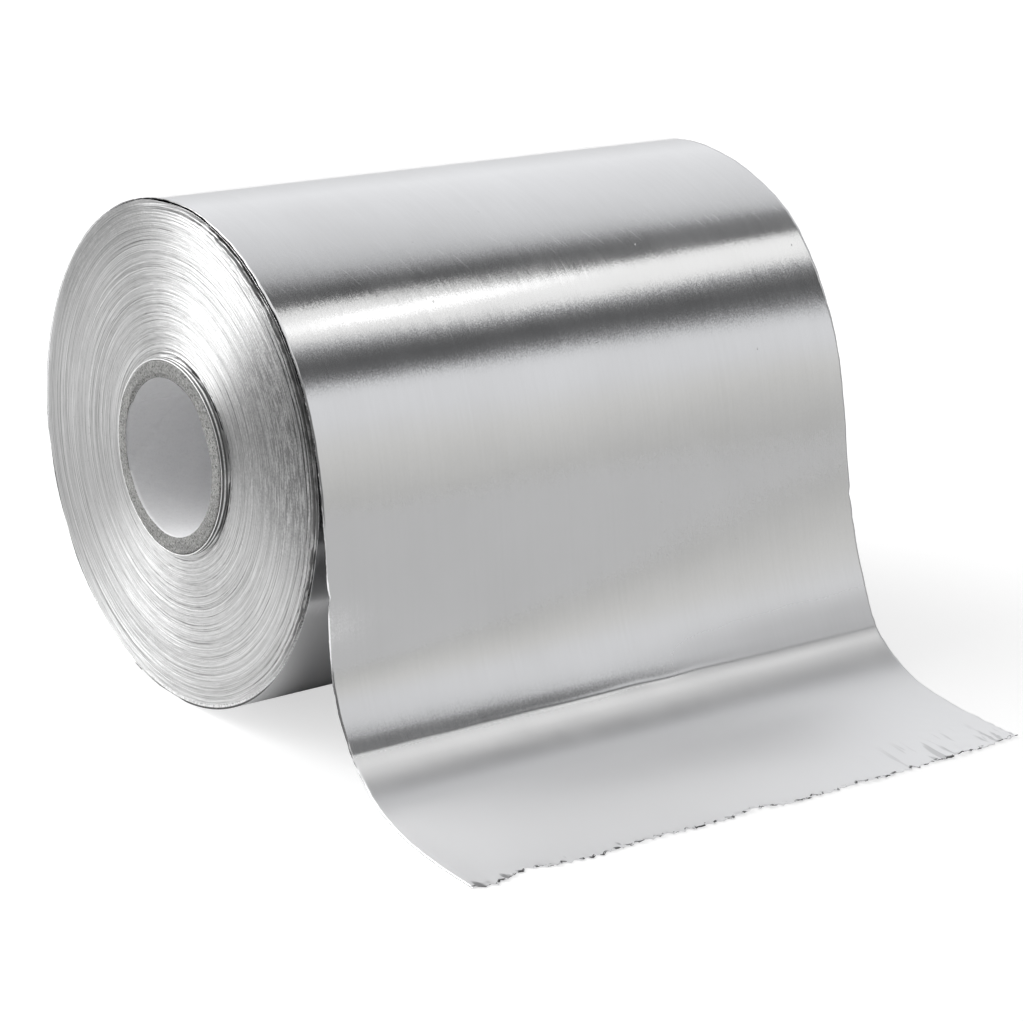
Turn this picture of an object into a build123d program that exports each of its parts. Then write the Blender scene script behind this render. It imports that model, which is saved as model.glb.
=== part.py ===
from build123d import *
from math import cos, radians, sin
import os

# An aluminium foil roll lying on its side, its loose end hanging down to the table.
# The roll's axis is Y, the tail runs out to +X, +Z is up, and the origin is mid-way along the axis.

# Roll
FOIL_WIDTH = 120.0
ROLL_R = 46.2
FLAT_DEPTH = 0.5

# Chipboard core
BORE_R = 14.4
CORE_WALL = 3.1
CORE_STANDOUT = 1.2
CORE_FIT = 0.05
INNER_PLY = 0.7
INNER_PLY_RECESS = 0.35
RIM_BEVEL = 0.2

# Loose sheet, far thicker than real foil so that it is a solid
SHEET_T = 0.35
LOOSE_GAP = 0.25

# Turns showing on the end faces
TURN_BANDS = 12
BAND_DEPTH = 0.34
BAND_MARGIN = 1.2

# Where the sheet leaves the roll, as degrees round from +X, and the stretch it still follows the turns
ROOT_DEG = 98.0
FOLLOW_DEG = 36.0

# Hanging sheet: bend radii, and headings in degrees below level
EASE_R = 1.02 * ROLL_R
EASE_HEADING = 78.0
HANG_X = 1.11 * ROLL_R
HANG_Z = -0.555 * ROLL_R
HANG_HEADING = 78.0
BEND_R = 0.50 * ROLL_R
BEND_HEADING = 36.0

# The sheet hangs askew: its low end is further out at the far end of the roll.
SKEW = 0.07 * ROLL_R

# Torn end
TORN_X = 2.055 * ROLL_R
TOOTH_PITCH = 2.1
TOOTH_DEPTH = 0.9

EMBED_DEG = 2.0
PAST = 1.0

half = FOIL_WIDTH / 2
core_r = BORE_R + CORE_WALL
turns_r = core_r + CORE_FIT
floor_z = -(ROLL_R - FLAT_DEPTH)
flat_half = (ROLL_R**2 - floor_z**2) ** 0.5
under_r = ROLL_R - SHEET_T - LOOSE_GAP


def polar(radius, degree):
    return Vector(radius * cos(radians(degree)), radius * sin(radians(degree)), 0)


def section_plane(y):
    # Its own x and y are the frame's X and Z.
    return Plane(origin=(0, y, 0), x_dir=(1, 0, 0), z_dir=(0, -1, 0))


def along_roll(outline, shift=0):
    # The face in outline, carried from the near end of the roll to the far one, shift further out in X.
    near = section_plane(-half) * make_face(outline)
    return Solid.extrude(near.faces()[0], Vector(shift, FOIL_WIDTH, 0))


# Chipboard core, from one half of its wall in section
def make_core():
    end = half + CORE_STANDOUT
    ply_end = end - INNER_PLY_RECESS
    ply_r = BORE_R + INNER_PLY
    wall = [
        (BORE_R, -ply_end),
        (ply_r, -ply_end),
        (ply_r, -end),
        (core_r - RIM_BEVEL, -end),
        (core_r, -end + RIM_BEVEL),
        (core_r, end - RIM_BEVEL),
        (core_r - RIM_BEVEL, end),
        (ply_r, end),
        (ply_r, ply_end),
        (BORE_R, ply_end),
    ]
    return revolve(make_face(Polyline(*wall, close=True)), Axis.Y, 360)


# Wound turns, with a flat where they rest and a step down to the turn under the loose sheet
def make_pack():
    root = polar(ROLL_R, ROOT_DEG)
    step = polar(under_r, ROOT_DEG)
    front = polar(under_r, -8)
    left_foot = Vector(-flat_half, floor_z)
    right_foot = Vector(flat_half, floor_z)
    outline = [
        ThreePointArc(root, (-ROLL_R, 0), left_foot),
        Line(left_foot, right_foot),
        ThreePointArc(right_foot, polar(ROLL_R - SHEET_T / 2, -42), front),
        ThreePointArc(front, polar(under_r, 45), step),
        Line(step, root),
    ]
    return along_roll(outline) - Rot(90, 0, 0) * Cylinder(turns_r, FOIL_WIDTH + 2 * PAST)


# A zigzag ring of ridges and valleys in uneven steps, to be cut into an end face
def band_cutter():
    first = turns_r + BAND_MARGIN
    last = under_r - BAND_MARGIN
    count = 2 * TURN_BANDS
    pitch = (last - first) / count
    points = [(first, half)]
    for i in range(1, count):
        valley = BAND_DEPTH * (0.72 + 0.28 * sin(1.9 * i))
        ridge = BAND_DEPTH * (0.16 + 0.16 * sin(3.1 * i))
        points.append((first + pitch * (i + 0.28 * sin(2.3 * i)), half - (valley if i % 2 else ridge)))
    outline = [(first, half + PAST), *points, (last, half), (last, half + PAST)]
    return revolve(make_face(Polyline(*outline, close=True)), Axis.Y, 360)


# The two sides of the sheet at a point where its middle runs at a heading
def sides(at, heading):
    across = polar(SHEET_T / 2, 90 - heading)
    return at + across, at - across


# A stretch of sheet bent about one centre: its outline, where its middle ends, and the centre
def bent(at, heading, radius, to_heading):
    hand = 1 if to_heading > heading else -1
    centre = at - polar(radius * hand, 90 - heading)
    middles = [centre + polar(radius * hand, 90 - h) for h in (heading, (heading + to_heading) / 2, to_heading)]
    over, under = zip(*(sides(m, h) for m, h in zip(middles, (heading, (heading + to_heading) / 2, to_heading))))
    outline = [
        ThreePointArc(*over),
        Line(over[2], under[2]),
        ThreePointArc(*reversed(under)),
        Line(under[0], over[0]),
    ]
    return outline, middles[2]


def make_sheet():
    mid_r = ROLL_R - SHEET_T / 2
    root_heading = 90 - ROOT_DEG
    follow, at = bent(polar(mid_r, ROOT_DEG + EMBED_DEG), root_heading - EMBED_DEG, mid_r, root_heading + FOLLOW_DEG)
    ease, ease_end = bent(at, root_heading + FOLLOW_DEG, EASE_R, EASE_HEADING)
    hang_end = Vector(HANG_X, HANG_Z)
    bend, bend_end = bent(hang_end, HANG_HEADING, BEND_R, BEND_HEADING)
    drop = bend_end.Y - (floor_z + SHEET_T / 2)
    level, level_end = bent(bend_end, BEND_HEADING, drop / (1 - cos(radians(BEND_HEADING))), 0)
    table = Polyline(*sides(level_end, 0), *reversed(sides(Vector(TORN_X + SKEW, level_end.Y), 0)), close=True)
    hang = []
    for y, shift in ((-half, 0), (half, SKEW)):
        low = sides(hang_end + Vector(shift, 0), HANG_HEADING)
        hang.append(section_plane(y) * make_face(Polyline(*sides(ease_end, EASE_HEADING), *reversed(low), close=True)))
    sheet = along_roll(follow) + along_roll(ease) + loft(hang, ruled=True)
    return sheet + along_roll(bend, SKEW) + along_roll(level, SKEW) + along_roll(table, SKEW) - torn_cutter()


# Everything past a row of teeth that runs from the sheet's near corner to its far one
def torn_cutter():
    teeth = round(FOIL_WIDTH / TOOTH_PITCH)
    slope = SKEW / FOIL_WIDTH
    points = []
    for i in range(2 * teeth + 1):
        y = -half + FOIL_WIDTH * i / (2 * teeth)
        notch = TOOTH_DEPTH * (0.8 + 0.2 * sin(2.7 * i)) if i % 2 else 0
        points.append((TORN_X + slope * (y + half) - notch, y))
    beyond = TORN_X + 3 * SKEW
    outline = [
        (beyond, -half - PAST),
        (TORN_X, -half - PAST),
        *points,
        (TORN_X + SKEW, half + PAST),
        (beyond, half + PAST),
    ]
    face = Pos(0, 0, floor_z - PAST) * make_face(Polyline(*outline, close=True))
    return extrude(face, SHEET_T + 2 * PAST)


bands = band_cutter()
core = make_core()
foil = make_pack() - bands - mirror(bands, Plane.XZ) + make_sheet()

os.makedirs("parts", exist_ok=True)
for node, shape in {"core": core, "foil": foil}.items():
    solids = shape.solids()
    assert len(solids) == 1, f"{node} is {len(solids)} solids"
    export_step(solids[0], f"parts/{node}.step")
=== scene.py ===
import math

import bmesh
import bpy
import numpy as np
from mathutils import Matrix


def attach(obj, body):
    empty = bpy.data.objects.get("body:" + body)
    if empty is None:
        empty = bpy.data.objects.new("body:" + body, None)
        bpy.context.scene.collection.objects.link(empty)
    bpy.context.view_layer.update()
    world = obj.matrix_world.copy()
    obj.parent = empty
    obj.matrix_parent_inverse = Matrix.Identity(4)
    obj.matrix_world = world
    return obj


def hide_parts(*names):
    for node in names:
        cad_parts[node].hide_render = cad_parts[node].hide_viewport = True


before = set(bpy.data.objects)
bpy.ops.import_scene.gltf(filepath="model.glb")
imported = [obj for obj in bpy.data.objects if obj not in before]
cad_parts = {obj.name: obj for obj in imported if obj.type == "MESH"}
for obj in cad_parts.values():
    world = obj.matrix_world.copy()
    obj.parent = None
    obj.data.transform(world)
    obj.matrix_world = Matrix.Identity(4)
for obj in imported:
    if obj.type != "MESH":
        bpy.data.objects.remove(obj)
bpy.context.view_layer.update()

# Sizes in metres. The roll's axis is Y, the tail runs out to +X, and the origin is the bore's centre.
MM = 0.001
ROLL_R = 46.2 * MM
HALF = 60.0 * MM
FLOOR_Z = -45.7 * MM
CORE_R = 17.5 * MM
BORE_R = 14.4 * MM
CORE_HALF = 61.2 * MM
SHEET_T = 0.10 * MM
# The turns nearest the core stand out with it, as a thin collar.
COLLAR_R = 17.80 * MM
COLLAR_OUT = 0.95 * MM

# Where things lie along the loose sheet, in roll radii from where it leaves the roll
CREASE_AT = 2.551
TORN_AT = 3.424

rng = np.random.default_rng(11)


# Smooth helpers

def step(low, high, x):
    t = np.clip((x - low) / (high - low), 0.0, 1.0)
    return t * t * (3 - 2 * t)


def bump(centre, width, x):
    return np.exp(-(((x - centre) / width) ** 2))


def hermite(knots, values, x):
    # A smooth curve through the values, with slopes held down where they change sign.
    gap = np.diff(knots)
    slope = np.diff(values) / gap
    m = np.zeros_like(values)
    before, after = slope[:-1], slope[1:]
    m[1:-1] = np.where(before * after > 0, 2 * before * after / (before + after + 1e-12), 0)
    m[0] = slope[0]
    i = np.clip(np.searchsorted(knots, x) - 1, 0, len(gap) - 1)
    t = (x - knots[i]) / gap[i]
    a = values[i] * (1 + 2 * t) * (1 - t) ** 2 + m[i] * gap[i] * t * (1 - t) ** 2
    return a + values[i + 1] * t * t * (3 - 2 * t) + m[i + 1] * gap[i] * t * t * (t - 1)


def waves(x, y, count, longest, shortest, seed):
    # Smooth seeded noise of two coordinates, from about -1 to 1, as a sum of plane waves.
    r = np.random.default_rng(seed)
    total = 0
    for _ in range(count):
        length = longest * (shortest / longest) ** r.random()
        turn = r.random() * math.tau
        phase = r.random() * math.tau
        total = total + np.sin((x * math.cos(turn) + y * math.sin(turn)) * math.tau / length + phase)
    return total / math.sqrt(count)


# Meshes

def grid_mesh(name, points, closed_u=False, closed_v=False, uv=None):
    # points is rows by columns by 3. uv is the same shape by 2, with a repeated seam column or row where closed.
    rows, cols = points.shape[:2]
    verts = points.reshape(-1, 3)
    r = np.arange(rows if closed_u else rows - 1)
    c = np.arange(cols if closed_v else cols - 1)
    rr, cc = np.meshgrid(r, c, indexing="ij")
    r2, c2 = (rr + 1) % rows, (cc + 1) % cols
    quads = np.stack([rr * cols + cc, r2 * cols + cc, r2 * cols + c2, rr * cols + c2], -1).reshape(-1, 4)
    mesh = bpy.data.meshes.new(name)
    mesh.from_pydata(verts.tolist(), [], quads.tolist())
    if uv is not None:
        layer = mesh.uv_layers.new(name="run")
        corners = np.stack([uv[rr, cc], uv[rr + 1, cc], uv[rr + 1, cc + 1], uv[rr, cc + 1]], 2).reshape(-1, 2)
        layer.data.foreach_set("uv", corners.astype(np.float32).ravel())
    mesh.polygons.foreach_set("use_smooth", np.ones(len(mesh.polygons), bool))
    mesh.update()
    return mesh


def second_slot(mesh, row_has_it, cols):
    # Rows of faces marked true get the object's second material, the others its first.
    index = np.repeat(np.asarray(row_has_it, int), cols)
    mesh.polygons.foreach_set("material_index", index.astype(np.int32))


def add_object(name, mesh, materials):
    obj = bpy.data.objects.new(name, mesh)
    bpy.context.scene.collection.objects.link(obj)
    for m in materials:
        mesh.materials.append(m)
    return obj


# Material helpers

class Nodes:
    def __init__(self, owner, output):
        self.owner = owner
        owner.use_nodes = True
        self.tree = owner.node_tree
        self.tree.nodes.clear()
        self.out = self.add(output)

    def add(self, kind, inputs=None, **settings):
        node = self.tree.nodes.new(kind)
        for key, value in settings.items():
            setattr(node, key, value)
        for key, value in (inputs or {}).items():
            self.put(node.inputs[key], value)
        return node

    def put(self, socket, value):
        if isinstance(value, bpy.types.NodeSocket):
            self.tree.links.new(value, socket)
        else:
            socket.default_value = value

    def math(self, operation, a, b=0.0, c=0.0):
        return self.add("ShaderNodeMath", {0: a, 1: b, 2: c}, operation=operation).outputs[0]

    def plus(self, a, b):
        return self.math("ADD", a, b)

    def minus(self, a, b):
        return self.math("SUBTRACT", a, b)

    def times(self, a, b):
        return self.math("MULTIPLY", a, b)

    def off(self, value, centre):
        # How far the value is from the centre, either way.
        return self.math("ABSOLUTE", self.minus(value, centre))

    def swing(self, noise, size):
        # The noise, made to run from half of size below zero to half of it above.
        return self.math("MULTIPLY_ADD", noise, size, -0.5 * size)

    def vector(self, x=0.0, y=0.0, z=0.0):
        return self.add("ShaderNodeCombineXYZ", {0: x, 1: y, 2: z}).outputs[0]

    def split(self, vector):
        return self.add("ShaderNodeSeparateXYZ", {"Vector": vector}).outputs

    def vectors(self, operation, a, b=(0.0, 0.0, 0.0)):
        return self.add("ShaderNodeVectorMath", {0: a, 1: b}, operation=operation)

    def spread(self, value, low, high, to_low=0.0, to_high=1.0):
        # Eased from to_low at low to to_high at high, and held beyond them. Low may be the greater one.
        ends = {0: value, 1: low, 2: high, 3: to_low, 4: to_high}
        return self.add("ShaderNodeMapRange", ends, clamp=True, interpolation_type="SMOOTHSTEP").outputs[0]

    def ramp(self, value, stops):
        node = self.add("ShaderNodeValToRGB", {0: value})
        while len(node.color_ramp.elements) < len(stops):
            node.color_ramp.elements.new(0.5)
        for element, (at, colour) in zip(node.color_ramp.elements, stops):
            element.position = at
            element.color = (*colour[:3], 1)
        return node.outputs[0]

    def stretch(self, vector, scale):
        # Turned after the scaling, so that no line of the noise's own grid lies along the strip.
        turned = {"Vector": vector, "Location": (0.37, 0.71, 0.53), "Rotation": (0.4, 0.3, 0.6), "Scale": scale}
        return self.add("ShaderNodeMapping", turned).outputs[0]

    def slanted(self, vector, angle):
        return self.add("ShaderNodeMapping", {"Vector": vector, "Rotation": (0, 0, angle)}).outputs[0]

    def noise(self, vector, scale, detail=2.0, rough=0.5):
        # A scale of three numbers stretches it by a different amount along each axis.
        if isinstance(scale, tuple):
            vector, scale = self.stretch(vector, scale), 1.0
        inputs = {"Vector": vector, "Scale": scale, "Detail": detail, "Roughness": rough}
        return self.add("ShaderNodeTexNoise", inputs).outputs[0]

    def mix(self, factor, a, b):
        return self.add("ShaderNodeMix", {0: factor, 6: a, 7: b}, data_type="RGBA").outputs[2]

    def bump(self, height, strength, distance, normal=None):
        node = self.add("ShaderNodeBump", {"Height": height, "Strength": strength, "Distance": distance})
        if normal is not None:
            self.put(node.inputs["Normal"], normal)
        return node.outputs[0]

    def run_tangent(self):
        return self.add("ShaderNodeTangent", direction_type="UV_MAP", uv_map="run").outputs[0]

    def surface(self, **inputs):
        # Links a Principled surface with these inputs to the output, and returns the material.
        inputs = {key.replace("_", " "): value for key, value in inputs.items()}
        shader = self.add("ShaderNodeBsdfPrincipled", inputs)
        self.tree.links.new(shader.outputs[0], self.out.inputs[0])
        return self.owner


def new_material(name):
    return Nodes(bpy.data.materials.new(name), "ShaderNodeOutputMaterial")


def grey(value):
    return (value, value, value, 1)


def linear(byte):
    # The light that a display shows as this level from 0 to 255.
    v = byte / 255
    return v / 12.92 if v <= 0.04045 else ((v + 0.055) / 1.055) ** 2.4


# Foil. UV "run": u goes across the strip in metres, v along it, so the rolling lines lie along v.

# How far, in radians, each kind of mark on the foil tilts its mirror
GRAIN_TILT = 0.085
HAIR_TILT = 0.012
SCRATCH_TILT = 0.030


def foil_material(name, handled):
    # handled: the loose end has been pulled off and bent, so it mirrors less sharply there.
    n = new_material(name)
    uv = n.add("ShaderNodeUVMap", uv_map="run").outputs[0]
    fine = n.noise(uv, (9000, 60, 1), 3.0, 0.6)
    lines = n.noise(uv, (1800, 14, 1), 2.0, 0.55)
    cloud = n.noise(uv, (70, 45, 1), 3.0, 0.55)
    ripple = n.noise(uv, (240, 90, 1))
    haze = n.noise(uv, (30, 22, 1), 4.0, 0.62)
    pits = foil_pits(n, uv)
    tone = n.plus(n.times(lines, 0.07), n.times(cloud, 0.05))
    tone = n.plus(tone, n.swing(haze, 0.22))
    colour = n.ramp(n.plus(tone, 0.44), [(0.44, (0.86, 0.86, 0.866)), (0.58, (0.94, 0.942, 0.952))])
    colour = n.mix(n.times(pits, 0.35), colour, grey(0.5))
    rough = n.plus(n.spread(cloud, 0.3, 0.7, 0.095, 0.125), n.times(lines, 0.03))
    along = None
    if handled:
        across, along = n.split(uv)[:2]
        rough = n.plus(rough, wear(n, across, along))
        # Painted light: beyond the crease the sheet's colour is made paler, so that it mirrors brighter there.
        colour = n.mix(n.spread(along, 2.5 * ROLL_R, 2.7 * ROLL_R, 0.0, 0.8), colour, (0.965, 0.967, 0.975, 1))
        colour = torn_edge_shade(n, uv, across, along, colour)
    height = n.plus(n.times(fine, 0.25), n.times(lines, 0.75))
    normal = n.bump(height, 0.10, 0.00004)
    normal = n.bump(ripple, 0.05, 0.0004, normal)
    normal = n.bump(pits, 0.25, 0.0001, normal)
    tangent = n.run_tangent()
    way = n.vectors("CROSS_PRODUCT", normal, tangent).outputs[0]
    lean = n.add("ShaderNodeVectorMath", {0: way, "Scale": mirror_tilt(n, uv, along)}, operation="SCALE").outputs[0]
    normal = n.vectors("NORMALIZE", n.vectors("ADD", normal, lean).outputs[0]).outputs[0]
    return n.surface(
        Base_Color=colour, Metallic=1.0, Roughness=rough, Anisotropic=0.30, Normal=normal, Tangent=tangent
    )


def foil_pits(n, uv):
    # Small round pits, in few of the cells.
    cells = n.add("ShaderNodeTexVoronoi", {"Vector": n.stretch(uv, (300, 260, 1)), "Scale": 1.0}, feature="F1")
    spot = n.spread(cells.outputs["Distance"], 0.02, 0.07, 1.0, 0.0)
    rare = n.spread(n.add("ShaderNodeSeparateColor", {"Color": cells.outputs["Color"]}).outputs[0], 0.86, 0.9)
    return n.times(spot, rare)


def wear(n, across, along):
    # How much rougher the bent and rubbed part is. Above its crease the far part is the more rubbed one.
    far = n.spread(across, -0.005, 0.040, -0.10, 1.7)
    far = n.math("MULTIPLY_ADD", far, n.spread(along, 2.53 * ROLL_R, 2.60 * ROLL_R, 1.0, 0.15), 1.0)
    worn = n.times(n.spread(along, 2.28 * ROLL_R, 2.48 * ROLL_R, 0.0, 0.10), far)
    worn = n.plus(worn, n.spread(along, 2.54 * ROLL_R, 2.58 * ROLL_R, 0.0, 0.07))
    return n.plus(worn, n.spread(along, 2.74 * ROLL_R, 2.86 * ROLL_R, 0.0, 0.20))


def torn_edge_shade(n, uv, across, along, colour):
    def towards_edge(begin, end):
        return n.spread(along, (TORN_AT - begin) * ROLL_R, (TORN_AT - end) * ROLL_R)

    # Painted shade: dark specks along the torn fringe.
    fringe_shade = n.noise(uv, (620, 900, 1), 2.0, 0.6)
    fringe_shade = n.plus(fringe_shade, n.spread(across, -0.058, -0.020, 0.035, 0.0))
    fringe_shade = n.times(n.spread(fringe_shade, 0.54, 0.60), 0.92)
    colour = n.mix(n.times(towards_edge(0.022, 0.008), fringe_shade), colour, grey(0.03))
    # Painted shade of short folds that run in from it, dark at its near end and faint at its far corner.
    fold_shade = n.spread(n.noise(uv, (420, 130, 1), 1.0), 0.62, 0.70, 0.0, 0.75)
    fold_shade = n.times(fold_shade, towards_edge(0.085, 0.03))
    fold_shade = n.times(fold_shade, n.spread(across, -0.030, -0.012, 1.0, 0.0))
    pleat_shade = n.spread(n.noise(n.slanted(uv, -0.06), (700, 110, 1), 1.0), 0.56, 0.66, 0.0, 0.30)
    pleat_shade = n.times(pleat_shade, towards_edge(0.24, 0.07))
    pleat_shade = n.times(pleat_shade, n.spread(across, 0.026, 0.040))
    return n.mix(n.math("MAXIMUM", fold_shade, pleat_shade), colour, (0.22, 0.22, 0.225, 1))


def mirror_tilt(n, uv, along):
    # Grain, long hairs and a few slanted scratches tilt the mirror to and fro along the strip.
    grain = n.noise(uv, (4200, 3600, 1), 2.0, 0.65)
    hair = n.noise(uv, (2600, 160, 1), 1.0)
    scratch = n.spread(n.noise(n.slanted(uv, 0.45), (3200, 240, 1), 0.0), 0.70, 0.77)
    calm = 1.0
    if along is not None:
        # The hanging part is less scratched, and the part beyond the crease is smoother.
        scratch = n.times(scratch, n.spread(along, 0.72 * ROLL_R, 0.90 * ROLL_R, 1.0, 0.12))
        calm = n.spread(along, 2.56 * ROLL_R, 2.7 * ROLL_R, 1.0, 0.4)
    tilt = n.plus(n.swing(grain, GRAIN_TILT), n.swing(hair, HAIR_TILT))
    tilt = n.plus(tilt, n.times(scratch, SCRATCH_TILT))
    return n.times(tilt, calm)


# Ends of the turns. UV "run": u goes out along the radius in metres, v round the roll.

# Open gaps between the outer turns and next to the core: distance from the axis and half width in mm, and how dark
# their painted shade is, which also sets how deep they are cut at the near end
GAPS = (
    (45.0, 0.34, 1.0), (44.3, 0.17, 0.8), (43.5, 0.10, 0.5), (42.4, 0.09, 0.45), (41.0, 0.07, 0.35),
    (18.15, 0.20, 0.95), (18.9, 0.08, 0.5),
)
SHADE = grey(0.015)
GLINT = grey(0.97)


def ends_material():
    n = new_material("foil_ends")
    place = n.add("ShaderNodeTexCoord").outputs["Object"]
    x, _, z = n.split(place)
    radius = n.math("SQRT", n.plus(n.times(x, x), n.times(z, z)))
    turn = n.math("ARCTAN2", z, x)
    # Distance out and place round, so that each line follows its turn but changes on the way.
    polar = n.vector(radius, n.math("DIVIDE", x, radius), n.math("DIVIDE", z, radius))
    drift = n.times(n.noise(place, 30.0), 0.00014)
    polar = n.vectors("ADD", polar, n.vector(drift)).outputs[0]
    thin = n.noise(polar, (5600, 1.0, 1.0), 2.0, 0.65)
    wide = n.noise(polar, (3100, 0.8, 0.8), 2.0, 0.6)
    broken = n.noise(polar, (4600, 11, 11), 2.0, 0.6)
    grain = n.noise(place, 2600.0, 2.0, 0.6)
    rings = n.plus(n.times(thin, 0.38), n.times(wide, 0.40))
    rings = n.plus(rings, n.times(broken, 0.22))
    colour = n.ramp(rings, [(0.36, grey(0.20)), (0.45, grey(0.47)), (0.53, grey(0.60)), (0.62, grey(0.78))])
    colour = rim_shade_and_glint(n, place, radius, turn, colour)
    colour = collar_glint_and_shade(n, radius, colour)
    speckle = n.plus(broken, n.times(wide, 0.5))
    speckle = n.plus(speckle, n.times(grain, 0.4))
    # Painted shade, broken up by the speckle.
    side_shade = n.times(side_shade_part(n, radius, turn), n.spread(speckle, 0.78, 1.09, 0.10, 0.95))
    colour = n.mix(side_shade, colour, grey(0.17))
    colour = n.mix(n.spread(grain, 0.63, 0.74, 0.0, 0.45), colour, grey(0.30))
    rough = n.plus(n.spread(broken, 0.3, 0.7, 0.27, 0.36), n.times(thin, 0.10))
    # The end is a shallow cone to the light, on which each turn's edge is a ridge.
    normal = n.bump(n.times(radius, -1.0), 1.0, 0.08)
    normal = n.bump(rings, 0.60, 0.0003, normal)
    normal = n.bump(grain, 0.25, 0.0001, normal)
    # The collar is less metallic, so that its painted highlight shows white.
    metal = n.spread(radius, 17.84 * MM, 17.92 * MM, 0.35, 1.0)
    return n.surface(
        Base_Color=colour, Metallic=metal, Roughness=rough, Anisotropic=0.88, Normal=normal, Tangent=n.run_tangent()
    )


def rim_shade_and_glint(n, place, radius, turn, colour):
    # Painted shade in the gaps, which wander a little and are open from the top of the roll round to where the
    # sheet hangs.
    sway = n.times(n.math("SINE", n.times(turn, 5.0)), 0.00022)
    sway = n.plus(sway, n.times(n.math("SINE", n.math("MULTIPLY_ADD", turn, 17.0, 1.0)), 0.00005))
    sway = n.plus(sway, n.swing(n.noise(place, 300.0), 0.0008))
    swayed = n.minus(radius, sway)
    open_part = n.times(n.spread(turn, -0.85, -0.25), n.spread(turn, 1.75, 1.25))
    gaps = 0.0
    for at, wide, dark in GAPS:
        gap = n.spread(n.off(swayed, at * MM), wide * 0.4 * MM, wide * MM, dark, 0.0)
        gaps = n.math("MAXIMUM", gaps, gap)
    colour = n.mix(n.times(gaps, open_part), colour, SHADE)
    # Painted highlight along the last turn outside them, broken up along its nicked edge.
    nicked = n.spread(n.noise(place, 1900.0, 2.0, 0.6), 0.30, 0.62, 0.0, 0.7)
    edge = n.times(n.spread(swayed, 45.24 * MM, 45.40 * MM), nicked)
    colour = n.mix(n.times(edge, open_part), colour, GLINT)
    # Lower down on the right the rim itself gets painted shade, with a painted highlight, broken up by nicks,
    # inside that.
    lower = n.times(n.spread(turn, -1.95, -1.55), n.spread(turn, -0.20, -0.55))
    past = n.minus(radius, n.spread(turn, -1.047, -0.087, 45.54 * MM, 45.12 * MM))
    inside = n.times(n.spread(past, -0.80 * MM, -0.25 * MM), nicked)
    colour = n.mix(n.times(inside, lower), colour, GLINT)
    return n.mix(n.times(n.spread(past, 0.0, 0.05 * MM, 0.0, 0.92), lower), colour, SHADE)


def collar_glint_and_shade(n, radius, colour):
    # Painted highlight on the collar's rim. Painted shade on its outer side, but for a painted bright line, one
    # turn's edge, half way down.
    colour = n.mix(n.spread(radius, 17.92 * MM, 17.84 * MM), colour, grey(0.93))
    wall = n.times(n.spread(radius, 17.7990 * MM, 17.8010 * MM), n.spread(radius, 17.90 * MM, 17.84 * MM))
    wall = n.times(wall, n.spread(n.off(radius, 17.8165 * MM), 0.0025 * MM, 0.0055 * MM))
    return n.mix(n.times(wall, 0.93), colour, grey(0.03))


def side_shade_part(n, radius, turn):
    # Painted shade on the right, and less so up on the left, deepening towards the rim.
    right = n.times(n.spread(turn, -0.50, 0.10), n.spread(turn, 1.05, 0.65))
    right = n.times(right, n.spread(radius, 18 * MM, 42 * MM, 0.45, 1.0))
    upper_left = n.spread(n.off(turn, 2.2), 0.75, 0.35)
    upper_left = n.times(upper_left, n.spread(radius, 34 * MM, 45 * MM, 0.0, 0.55))
    return n.math("MAXIMUM", right, upper_left)


def edge_material():
    # The strip's own long edges, cut and nicked: painted shade, nearly black, with paler metal at the nicks.
    n = new_material("foil_edge")
    place = n.add("ShaderNodeTexCoord").outputs["Object"]
    nicks = n.spread(n.noise(place, 900.0, 2.0, 0.6), 0.50, 0.64)
    colour = n.mix(nicks, grey(0.02), grey(0.6))
    rough = n.spread(nicks, 0.0, 1.0, 0.45, 0.30)
    return n.surface(Base_Color=colour, Metallic=1.0, Roughness=rough, Normal=n.bump(nicks, 0.3, 0.0001))


def board_material(name, low, high, speck_share):
    n = new_material(name)
    place = n.add("ShaderNodeTexCoord").outputs["Object"]
    fibre = n.noise(place, (1500, 900, 1500), 4.0, 0.65)
    blotch = n.noise(place, 160.0, 3.0, 0.55)
    specks = n.noise(place, 2900.0, 2.0, 0.65)
    tone = n.plus(n.times(fibre, 0.6), n.times(blotch, 0.4))
    colour = n.ramp(tone, [(0.34, low), (0.66, high)])
    colour = n.mix(n.spread(specks, 0.54, 0.68, 0.0, speck_share), colour, grey(0.05))
    colour = n.mix(n.spread(specks, 0.44, 0.34, 0.0, speck_share * 0.5), colour, (0.62, 0.62, 0.60, 1))
    normal = n.bump(fibre, 0.45, 0.0002)
    normal = n.bump(specks, 0.30, 0.0001, normal)
    return n.surface(Base_Color=colour, Roughness=n.spread(blotch, 0.3, 0.7, 0.82, 0.94), Normal=normal)


foil_bright = foil_material("foil_bright", False)
foil_handled = foil_material("foil_handled", True)
foil_ends = ends_material()
foil_edge = edge_material()
board_cut = board_material("core_cut", (0.20, 0.20, 0.197), (0.34, 0.34, 0.33), 0.9)
board_bore = board_material("core_bore", (0.80, 0.80, 0.81), (0.86, 0.86, 0.868), 0.05)


# The loose sheet's run, in roll radii from where it leaves the roll, as headings in degrees below level

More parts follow.
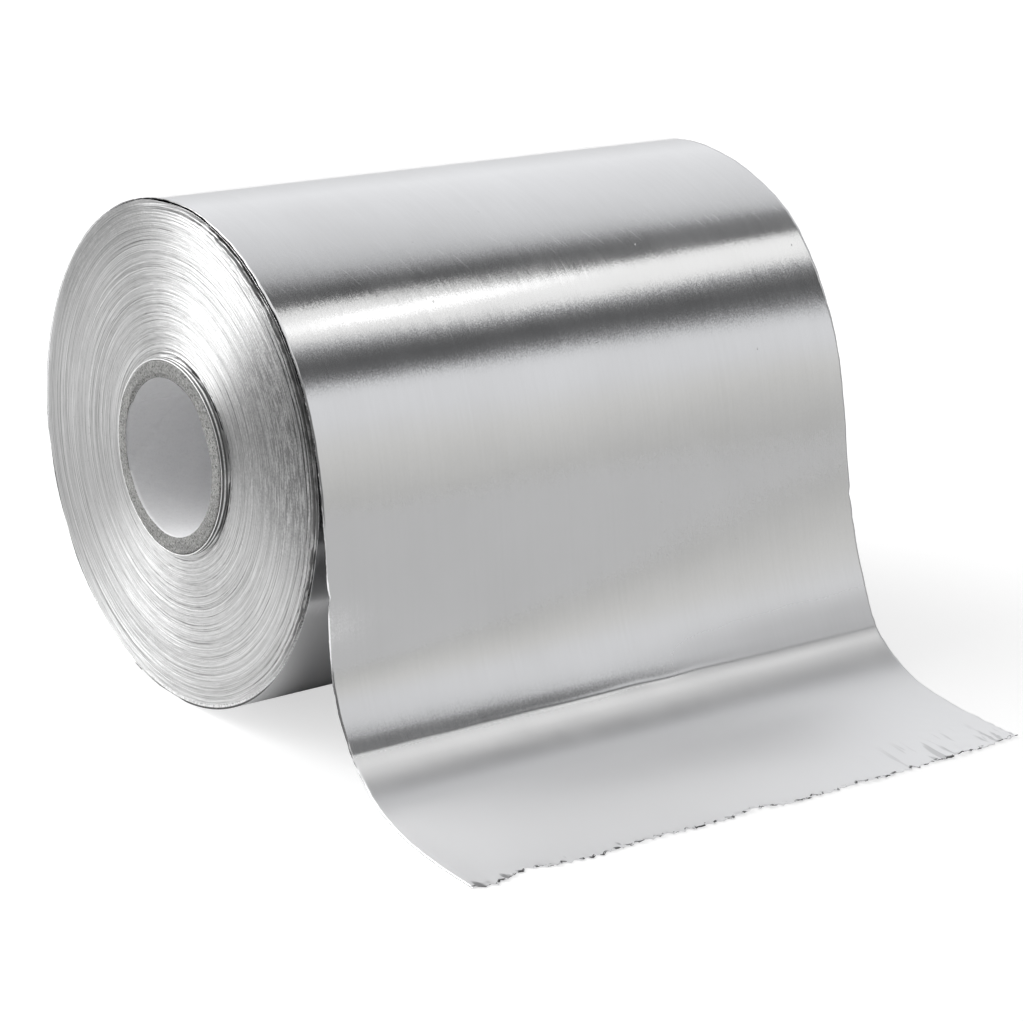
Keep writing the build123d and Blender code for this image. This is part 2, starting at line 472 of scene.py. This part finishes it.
KNOTS = np.array([
    0, 0.35, 0.63, 0.95, 1.25, 1.55, 1.80, 2.05, 2.25, 2.37, 2.45,
    2.515, 2.545, 2.57, 2.62, 2.705, 2.80, 2.845, 2.90, 3.0, 3.15, 3.45,
])
NEAR_HEADINGS = [
    -8, 12, 27.6, 44.8, 64.4, 76.6, 82, 84, 77, 64.5, 59.5,
    53, 49.5, 43.5, 38.3, 31.5, 21.5, 17.0, 11.3, 5.5, 3, 0.2,
]
FAR_HEADINGS = [
    -8, 12, 25.4, 50.1, 62.2, 75.7, 78.8, 74.3, 68.4, 63.8, 62,
    59.5, 57, 46, 38.5, 31.0, 21.5, 17.0, 11.3, 7.1, 2.2, 1.3,
]
LEAVE_DEG = 98.0
WRAP_DEG = 158.0
# Radius of the last turn's outside, in roll radii
SKIN_R = 0.997

# Teeth of the torn edge, each of four columns of the mesh
TEETH = 57
TOOTH_COLS = 4
TOOTH_DEPTH = 0.95
# How far the torn edge stands past its straight line, in roll radii, at places across the sheet in mm
EDGE_Y = (-60, -56, -51, -47, -43, -30, -8, -2, 5, 20, 36, 50, 60)
EDGE_S = (-0.038, -0.012, -0.046, -0.055, -0.018, -0.008, -0.006, -0.012, 0.010, 0.016, 0.018, 0.010, -0.003)

# Dents beside the torn edge: place along the sheet in roll radii, and place across, width and height in mm
DENTS = (
    (3.365, -47, 1.7, 1.2), (3.395, -40.5, 1.2, 0.8), (3.385, -35, 1.6, 0.9), (3.385, -58, 1.6, 0.8),
    (3.375, -9, 1.5, 0.4),
)
# Nicks in the strip's near and far long edges: place along the sheet and width in roll radii, and depth in mm
NEAR_NICKS = ((1.96, 0.03, 0.5), (2.34, 0.02, 0.35))
FAR_NICKS = ((2.00, 0.02, 0.45), (2.08, 0.015, 0.3))


def run_curve(headings):
    s = np.linspace(0, 3.45, 1381)
    a = np.radians(hermite(KNOTS, np.array(headings, float), s))
    gap = np.diff(s)
    x = np.r_[0, np.cumsum((np.cos(a[1:]) + np.cos(a[:-1])) / 2 * gap)]
    z = -np.r_[0, np.cumsum((np.sin(a[1:]) + np.sin(a[:-1])) / 2 * gap)]
    leave = math.radians(LEAVE_DEG)
    return s, x + SKIN_R * math.cos(leave), z + SKIN_R * math.sin(leave)


def sheet_points(s, y):
    # s is in roll radii, below 0 on the stretch still wound on; y is in metres.
    share = (y / HALF + 1) / 2
    _, near_x, near_z = run_curve(NEAR_HEADINGS)
    table, far_x, far_z = run_curve(FAR_HEADINGS)
    on = np.maximum(s, 0)
    x = np.interp(on, table, near_x) * (1 - share) + np.interp(on, table, far_x) * share
    z = np.interp(on, table, near_z) * (1 - share) + np.interp(on, table, far_z) * share
    angle = np.radians(LEAVE_DEG) - s / SKIN_R
    wound = s < 0
    # Its near corner lies a little outwards, past the roll's end.
    y = y - 1.2 * MM * step(2.5, 3.15, s) * (1 - share)
    x = np.where(wound, SKIN_R * np.cos(angle), x)
    z = np.where(wound, SKIN_R * np.sin(angle), z)
    return np.stack([x * ROLL_R, y, z * ROLL_R], -1)


def sheet_lift(s, y):
    # How far the sheet stands off its smooth run, in metres.
    along, across = s * ROLL_R, y / HALF
    # The crease, most marked in its middle
    crease_s = CREASE_AT + 0.002 * waves(y, y * 0, 6, 24 * MM, 5 * MM, 17)
    fading = 0.3 + 0.7 * step(0.6, 0.1, across) * (0.25 + 0.75 * step(-0.6, 0.0, across))
    lift = 0.050 * MM * bump(0, 0.0090, s - crease_s) * fading
    # Slack and small wrinkles
    hang = step(0.9, 1.6, s)
    lift += 0.028 * MM * waves(along, y * 0.5, 9, 46 * MM, 20 * MM, 3) * (0.3 + 0.7 * hang)
    lift += 0.0022 * MM * waves(s * ROLL_R * 1.3, y * 0.4, 12, 12 * MM, 5 * MM, 5)
    # Pleats that fan out at the far torn corner
    corner = step(0.50, 0.95, across) * step(2.85, 3.3, s)
    fan = np.arctan2((3.62 - s) * ROLL_R, (HALF * 1.25 - y))
    lift += 0.09 * MM * corner * np.sin(fan * 58 + 2.0 * np.sin(fan * 9))
    for at_s, at_y, wide, high in DENTS:
        near = bump(at_s, wide * MM / ROLL_R, s) * bump(at_y * MM, wide * MM * 1.3, y)
        lift += high * MM * near
    return lift


def tooth_values(values):
    # One value a tooth, as one value a column of the mesh.
    return np.repeat(values, TOOTH_COLS)[: TOOTH_COLS * TEETH + 1]


def build_sheet():
    y = np.linspace(-HALF, HALF, TOOTH_COLS * TEETH + 1)
    wound = np.linspace(-math.radians(WRAP_DEG) * SKIN_R, -0.05, 40)
    loose = np.linspace(0, 2.49, 76)
    crease = np.linspace(2.50, 2.62, 24)
    low = np.linspace(2.64, TORN_AT - 0.055, 36)
    last = np.linspace(TORN_AT - 0.045, TORN_AT, 9)
    s_row = np.concatenate([wound, loose, crease, low, last])
    s, yy = np.meshgrid(s_row, y, indexing="ij")
    # The torn edge: a saw-tooth with uneven depth, reaching back over the last rows.
    tooth = np.abs((np.arange(len(y)) % TOOTH_COLS) - 2) / 2
    depth = tooth_values(0.35 + 0.65 * rng.random(TEETH + 1))
    drift = 0.30 * np.minimum(waves(y, y * 0, 6, 40 * MM, 5 * MM, 21), 0.4) * (1 - step(0.7, 0.95, y / HALF))
    slant = np.interp(y / MM, EDGE_Y, EDGE_S)
    cut = slant + (TOOTH_DEPTH * depth * (tooth - 1) + drift) * MM / ROLL_R
    near_end = step(TORN_AT - 0.12, TORN_AT, s)
    s = s + cut[None, :] * near_end
    # The strip's long edges are slightly uneven.
    nick = 0.10 * MM * (1 + waves(s * ROLL_R, s * 0, 9, 30 * MM, 1.6 * MM, 31))
    for nicks, side in ((NEAR_NICKS, yy < 0), (FAR_NICKS, yy > 0)):
        for at, wide, deep in nicks:
            nick = nick + deep * MM * bump(at, wide, s) * side
    yy = yy - np.sign(yy) * nick * step(0.975, 1.0, np.abs(yy) / HALF)
    top = sheet_points(s, yy)
    normal = np.cross(np.gradient(top, axis=1), np.gradient(top, axis=0))
    normal /= np.linalg.norm(normal, axis=-1, keepdims=True)
    top = top + normal * sheet_lift(s, yy)[..., None]
    # Each tooth's tip is bent up, most of them a little and some a lot.
    curl = tooth_values(rng.gamma(1.6, 0.16, TEETH + 1)) * (0.35 + 0.65 * tooth)
    tips = step(TORN_AT - 0.040, TORN_AT + 0.015, s - slant[None, :])
    top[..., 2] += np.clip(curl, 0, 0.9)[None, :] * MM * tips
    top[..., 2] = np.maximum(top[..., 2], FLOOR_Z + SHEET_T)
    under = top - normal * SHEET_T
    under[..., 2] = np.maximum(under[..., 2], FLOOR_Z)
    loop = np.concatenate([top, under[::-1]], axis=0)
    v = np.r_[s_row, s_row[::-1], s_row[:1]] * ROLL_R
    uv = np.stack(np.broadcast_arrays(y[None, :], v[:, None]), -1)
    mesh = grid_mesh("foil_sheet", loop, closed_u=True, uv=uv)
    close_sides(mesh, loop.shape[0], loop.shape[1])
    return mesh


def close_sides(mesh, rows, cols):
    # Closes the two long edges of a folded-over grid, whose row i lies on row rows - 1 - i.
    bm = bmesh.new()
    bm.from_mesh(mesh)
    bm.verts.ensure_lookup_table()
    layer = bm.loops.layers.uv.active
    for col in (0, cols - 1):
        for i in range(rows // 2 - 1):
            j = rows - 1 - i
            ring = [i * cols + col, (i + 1) * cols + col, (j - 1) * cols + col, j * cols + col]
            if col:
                ring.reverse()
            face = bm.faces.new([bm.verts[k] for k in ring[::-1]])
            face.smooth = False
            face.material_index = 1
            for loop in face.loops:
                loop[layer].uv = (0.0 if loop.vert.index in ring[:2] else SHEET_T, i * 0.001)
    bm.normal_update()
    bm.to_mesh(mesh)
    bm.free()


# The wound turns, as one ring-shaped solid with uneven turn edges on both ends

def pack_radius(angle):
    # Radius of the turns under the loose sheet, in metres, by angle in degrees from +X, from -90 to 270.
    under = step(-60, -5, angle) * (1 - step(92, 106, angle))
    return (SKIN_R * ROLL_R - SHEET_T - 0.04 * MM) - under * 0.42 * MM


def turn_relief(r, angle, side):
    # How far the turns' edges stand out from the foil's width, in metres: only those next to the core do.
    t = np.radians(angle)
    seed = 40 if side < 0 else 60
    local = np.random.default_rng(seed)
    table_r = np.arange(CORE_R, ROLL_R + MM, 0.22 * MM)
    groups = np.repeat(local.normal(0, 1, len(table_r) // 3 + 1), 3)[: len(table_r)]
    fine = local.normal(0, 1, len(table_r))
    swing = local.random(len(table_r)) * math.tau
    ring = np.interp(r, table_r, groups) * 0.006 + np.interp(r, table_r, fine) * 0.008
    turn = np.interp(r, table_r, fine[::-1]) * 0.006 * np.cos(2 * t + np.interp(r, table_r, swing) * 0.3 + 2)
    rough = 0.004 * waves(r * 6, t * 4 * MM, 14, 9 * MM, 2.5 * MM, seed + 1)
    dish = -0.10 * bump(30 * MM, 9 * MM, r) - 0.05 * bump(41 * MM, 3 * MM, r)
    height = (ring + turn + rough + dish) - 0.16
    if side < 0:
        loosened = step(-75, -35, angle) * (1 - step(88, 112, angle))
        for at, wide, dark in GAPS:
            wander = at + 0.10 + 0.10 * np.sin(5 * t) + 0.05 * np.sin(17 * t + 1)
            height = height - 0.9 * dark * bump(wander * MM, wide * MM, r) * loosened
    height = np.minimum(height, 0.0) * MM
    return np.where(r < COLLAR_R + 0.01 * MM, COLLAR_OUT, height)


def build_pack():
    count = 384
    angle = np.linspace(-90, 270, count, endpoint=False)
    inner = CORE_R + 0.05 * MM
    outer = SKIN_R * ROLL_R
    # The section: radius, and place along the roll as a share of half its width
    radial = np.concatenate([
        [inner, (inner + COLLAR_R) / 2, COLLAR_R, COLLAR_R + 0.03 * MM],
        np.linspace(18.00 * MM, 20.0 * MM, 14, endpoint=False),
        np.linspace(20.0 * MM, 42.0 * MM, 62, endpoint=False),
        np.linspace(42.0 * MM, outer - 0.10 * MM, 36),
    ])
    # A row close to each rim keeps the corner sharp.
    wall_y = np.r_[-1.0, -0.9992, np.linspace(-0.985, 0.985, 13), 0.9992, 1.0]
    near = np.stack([radial, np.full_like(radial, -1.0)], -1)
    wall = np.stack([np.full_like(wall_y, outer), wall_y], -1)
    far = np.stack([radial[::-1], np.full_like(radial, 1.0)], -1)
    profile = np.concatenate([near, wall, far])
    r0, y0 = profile[:, 0][:, None], profile[:, 1][:, None]
    a = angle[None, :]
    shift = pack_radius(a) - outer
    r = r0 + shift * step(0.90 * outer, outer, r0)
    face = np.abs(y0) > 0.99
    near_relief = np.where(face & (y0 < 0), -turn_relief(r, a, -1), 0)
    far_relief = np.where(face & (y0 > 0), turn_relief(r, a, 1), 0)
    y = y0 * HALF + near_relief + far_relief
    t = np.radians(a)
    x = r * np.cos(t)
    z = np.maximum(r * np.sin(t), FLOOR_Z + 0.02 * MM)
    points = np.stack([x, np.broadcast_to(y, x.shape), z], -1)
    length = np.r_[0, np.cumsum(np.hypot(*np.diff(np.stack([profile[:, 0], profile[:, 1] * HALF], -1), axis=0).T))]
    length = np.r_[length, length[-1] + 2 * HALF]
    round_it = np.r_[np.radians(angle), math.radians(270)] * ROLL_R
    uv = np.stack(np.broadcast_arrays(length[:, None], round_it[None, :]), -1)
    mesh = grid_mesh("foil_turns", points, closed_u=True, closed_v=True, uv=uv)
    row = np.arange(len(profile))
    on_near = row < len(near)
    on_far = (row >= len(near) + len(wall) - 1) & (row < len(profile) - 1)
    second_slot(mesh, on_near | on_far, count)
    return mesh


# The chipboard core

# The ply's spiral seam, in degrees round from +X: where it meets the near mouth, how far it runs back in a mm
# of depth, and where the missing piece of ply begins
SEAM_DEG = 205
SEAM_DEG_PER_MM = 4.0
MISSING_DEG = 152


def build_core():
    count = 288
    angle = np.linspace(0, 360, count, endpoint=False)
    wall = CORE_R - BORE_R
    ring = np.linspace(0, 1, 13)
    bore_y = np.concatenate([np.linspace(-1, -0.8, 16), np.linspace(-0.76, 0.76, 24), np.linspace(0.8, 1, 8)])
    # The section: radius, place along the roll as a share of half its length, and whether it is an end (1),
    # the bore (2) or the outside (0)
    rows = [(BORE_R + wall * k, -1.0, 1) for k in ring[::-1]]
    rows += [(BORE_R, along, 2) for along in bore_y[1:-1]]
    rows += [(BORE_R + wall * k, 1.0, 1) for k in ring]
    rows += [(CORE_R, along, 0) for along in np.linspace(0.97, -0.97, 5)]
    table = np.array(rows)
    r0, y0, kind = table[:, 0][:, None], table[:, 1][:, None], table[:, 2][:, None]
    a = angle[None, :]
    t = np.radians(a)
    depth = 0.04 * MM * np.clip(1.6 + waves(t * 14 * MM, r0 * 3, 16, 12 * MM, 1.2 * MM, 71), 0, 4)
    # The inner ply's cut end stands back, and the ply is missing where its spiral seam has opened at the mouth.
    ply = 0.62 * MM
    inner = 1 - step(BORE_R + 0.7 * ply, BORE_R + 1.15 * ply, r0)
    depth = depth + 0.30 * MM * inner * step(30, 60, a) * (1 - step(150, 156, a))
    depth = depth + 0.20 * MM * inner * (1 - step(8, 30, a)) + 0.20 * MM * inner * step(300, 340, a)
    bevel = 0.10 * MM * (1 - step(0, 0.10, np.abs(r0 - CORE_R) / wall))
    y = y0 * CORE_HALF - np.sign(y0) * np.where(kind == 1, depth + bevel, 0)
    from_mouth = (y0 + 1) * CORE_HALF
    seam_at = SEAM_DEG - from_mouth / MM * SEAM_DEG_PER_MM
    missing = step(MISSING_DEG - 1.5, MISSING_DEG + 1.5, a) * (1 - step(seam_at - 1.5, seam_at + 1.5, a))
    opened = 0.42 * MM * missing * (from_mouth < 14 * MM)
    groove = 0.10 * MM * bump(0, 1.6, (a - seam_at + 180) % 360 - 180)
    on_bore = np.where((kind == 2) | (np.abs(r0 - BORE_R) < 1e-6), 1.0, 0.0)
    r = r0 + on_bore * (opened + groove)
    r = r - np.where(r0 == CORE_R, 0.05 * MM, 0)
    x = r * np.cos(t)
    z = r * np.sin(t)
    points = np.stack([x, np.broadcast_to(y, x.shape), z], -1)
    mesh = grid_mesh("core_tube", points, closed_u=True, closed_v=True)
    row = np.arange(len(table))
    bore_start = len(ring) - 1
    second_slot(mesh, (row >= bore_start) & (row < bore_start + len(bore_y) - 1), count)
    return mesh


turns = add_object("foil_turns", build_pack(), [foil_bright, foil_ends])
sheet = add_object("foil_sheet", build_sheet(), [foil_handled, foil_edge])
core = add_object("core_tube", build_core(), [board_cut, board_bore])

for piece, node, slot in ((turns, "foil", "foil"), (sheet, "foil", "foil"), (core, "core", "core")):
    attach(piece, "root")
    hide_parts(node)


# Studio

# What the foil mirrors, by angle up from +X in the plane across the roll, as the level from 0 to 255 it shows
BANDS = (
    (-180, 205), (-30, 164), (-16, 171), (-4, 166), (4, 184), (12, 195), (24, 206), (33, 209), (36.2, 196),
    (39.2, 140), (42.4, 92), (48, 80), (52.5, 94), (56, 120), (59.5, 172), (63, 222), (68, 235), (76, 235),
    (79, 210), (81.3, 88), (84, 76), (88, 96), (92, 138), (97, 173), (103, 190), (110, 200), (124, 211),
    (140, 220), (154, 228), (168, 215), (180, 205),
)
# The share of the light that the foil sends back
FOIL_SHINE = 0.9
# The lower part of the light is warmer than grey, its upper part cooler, and the bright band nearly neutral.
WARM = np.array([1.004, 1.000, 0.978])
COOL = np.array([0.990, 0.997, 1.012])
BRIGHT_BAND = np.array([1.002, 1.0, 0.988])
LAMP_AIM = (0.277, 0.575, 0.770)
SOFTBOX_AIM = (-0.562, -0.672, 0.482)


def band_colour(angle, level):
    tint = WARM if angle < 20 else BRIGHT_BAND if 60 < angle < 80 else COOL
    return tuple(np.minimum(linear(level) / FOIL_SHINE * tint, 1.0))


def make_world():
    world = bpy.data.worlds.new("studio")
    bpy.context.scene.world = world
    n = Nodes(world, "ShaderNodeOutputWorld")
    direction = n.add("ShaderNodeTexCoord").outputs["Generated"]
    x, y, z = n.split(direction)
    light = n.mix(n.spread(y, 0.16, 0.44), viewer_side(n, direction, x, z), mirrored_bands(n, direction, x, y, z))
    # The viewer sees a white backdrop where the floor ends, and the foil mirrors the studio in front of it.
    path = n.add("ShaderNodeLightPath")
    seen = n.math("MAXIMUM", path.outputs["Is Camera Ray"], path.outputs["Is Transmission Ray"])
    light = n.mix(seen, light, (1, 1, 1, 1))
    background = n.add("ShaderNodeBackground", {"Color": light, "Strength": 1.0})
    n.tree.links.new(background.outputs[0], n.out.inputs[0])


def mirrored_bands(n, direction, x, y, z):
    # From -180 to 180 degrees as 0 to 1
    turn = n.plus(n.math("DIVIDE", n.math("ARCTAN2", z, x), math.tau), 0.5)
    # Beyond the lamp the bright band ends a little lower, and the dark band under it begins a little higher.
    lower = n.times(n.spread(y, 0.568, 0.62, 0.0, 0.018), n.spread(turn, 0.636, 0.676))
    turn = n.plus(turn, n.times(lower, n.spread(turn, 0.716, 0.756, 1.0, 0.0)))
    turn = n.minus(turn, n.times(n.spread(y, 0.58, 0.68, 0.0, 0.006), n.spread(turn, 0.645, 0.620)))
    bands = n.ramp(turn, [((angle + 180) / 360, band_colour(angle, level)) for angle, level in BANDS])
    # The dark strip beside the bright one fades towards the far end, and a lamp shows in the bright one.
    pale = n.times(n.spread(y, 0.60, 0.74, 0.0, 0.28), n.spread(n.off(turn, 0.738), 0.03, 0.0))
    bands = n.mix(pale, bands, grey(linear(190) / FOIL_SHINE))
    at_lamp = n.vectors("DOT_PRODUCT", direction, LAMP_AIM).outputs["Value"]
    lamp = n.spread(at_lamp, 0.9984, 0.99985, 0.0, 0.50)
    return n.vectors("ADD", bands, n.vector(lamp, lamp, lamp)).outputs[0]


def viewer_side(n, direction, x, z):
    # A dim room with a large softbox up on the left.
    aim = n.vectors("DOT_PRODUCT", direction, SOFTBOX_AIM).outputs["Value"]
    box = n.spread(aim, 0.80, 0.95, 0.0, 4.0)
    left = n.spread(x, -0.9, 0.1, 0.45, 0.16)
    high = n.spread(z, 0.5, 0.95, 0.0, 0.7)
    front = n.plus(n.plus(box, left), high)
    return n.add("ShaderNodeCombineColor", {0: front, 1: front, 2: front}).outputs[0]


def make_floor():
    n = new_material("floor_pale")
    place = n.add("ShaderNodeTexCoord").outputs["Object"]
    x, y, _ = n.split(place)
    tone = n.ramp(n.noise(place, 3.0, 3.0), [(0.3, grey(0.48)), (0.7, grey(0.50))])
    pale = n.add("ShaderNodeBsdfDiffuse", {"Color": tone})
    # The white part of the floor ends beyond the tail, and its grey shows in the hanging sheet.
    across = n.plus(n.times(x, 0.751), n.times(y, 0.660))
    white = n.minus(1.0, n.spread(across, 2.1 * ROLL_R, 3.4 * ROLL_R))
    white = n.times(white, n.spread(y, -7.0 * ROLL_R, -3.6 * ROLL_R))
    # Painted shadow: under the foil the floor's glow is taken away from what the foil mirrors, as the turns that
    # face down show.
    under = n.spread(n.off(x, 0.55 * ROLL_R), 1.12 * ROLL_R, 0.60 * ROLL_R)
    under = n.times(under, n.spread(n.math("ABSOLUTE", y), 1.42 * ROLL_R, 0.9 * ROLL_R))
    white = n.times(white, n.minus(1.0, under))
    path = n.add("ShaderNodeLightPath")
    seen = n.times(path.outputs["Is Glossy Ray"], n.times(white, 0.9))
    seen = n.math("MAXIMUM", seen, path.outputs["Is Camera Ray"])
    seen = n.math("MAXIMUM", seen, path.outputs["Is Transmission Ray"])
    glow = n.add("ShaderNodeEmission", {"Color": (1, 1, 1, 1), "Strength": n.times(seen, 0.61)})
    both = n.add("ShaderNodeAddShader", {0: pale.outputs[0], 1: glow.outputs[0]})
    n.tree.links.new(both.outputs[0], n.out.inputs[0])
    bpy.ops.mesh.primitive_plane_add(size=12, location=(0, 0, FLOOR_Z - 0.1 * MM))
    floor = bpy.context.object
    floor.name = "floor"
    floor.data.materials.append(n.owner)


# The photo's camera, fitted to the object's outline with the roll's radius as the unit

CAMERA_PLACE = (8.9986, -6.7703, 3.403)
CAMERA_YAW_PITCH_ROLL = (141.538, -18.812, 2.651)
FOCAL_LENGTH_PX = 2848.8
PHOTO_WIDTH_PX = 1023
SENSOR_WIDTH = 36


def make_camera():
    place = np.array(CAMERA_PLACE) * ROLL_R
    yaw, pitch, roll = (math.radians(v) for v in CAMERA_YAW_PITCH_ROLL)
    forward = np.array([math.cos(pitch) * math.cos(yaw), math.cos(pitch) * math.sin(yaw), math.sin(pitch)])
    right = np.cross(forward, [0, 0, 1])
    right /= np.linalg.norm(right)
    up = np.cross(right, forward)
    right, up = math.cos(roll) * right + math.sin(roll) * up, math.cos(roll) * up - math.sin(roll) * right
    data = bpy.data.cameras.new("camera")
    data.sensor_width = SENSOR_WIDTH
    data.lens = FOCAL_LENGTH_PX / PHOTO_WIDTH_PX * SENSOR_WIDTH
    data.clip_start, data.clip_end = 0.01, 50
    camera = bpy.data.objects.new("camera", data)
    matrix = np.eye(4)
    matrix[:3, 0], matrix[:3, 1], matrix[:3, 2], matrix[:3, 3] = right, up, -forward, place
    camera.matrix_world = Matrix(matrix.tolist())
    bpy.context.scene.collection.objects.link(camera)
    bpy.context.scene.camera = camera


make_world()
make_floor()
make_camera()
bpy.context.scene.view_settings.view_transform = "Standard"
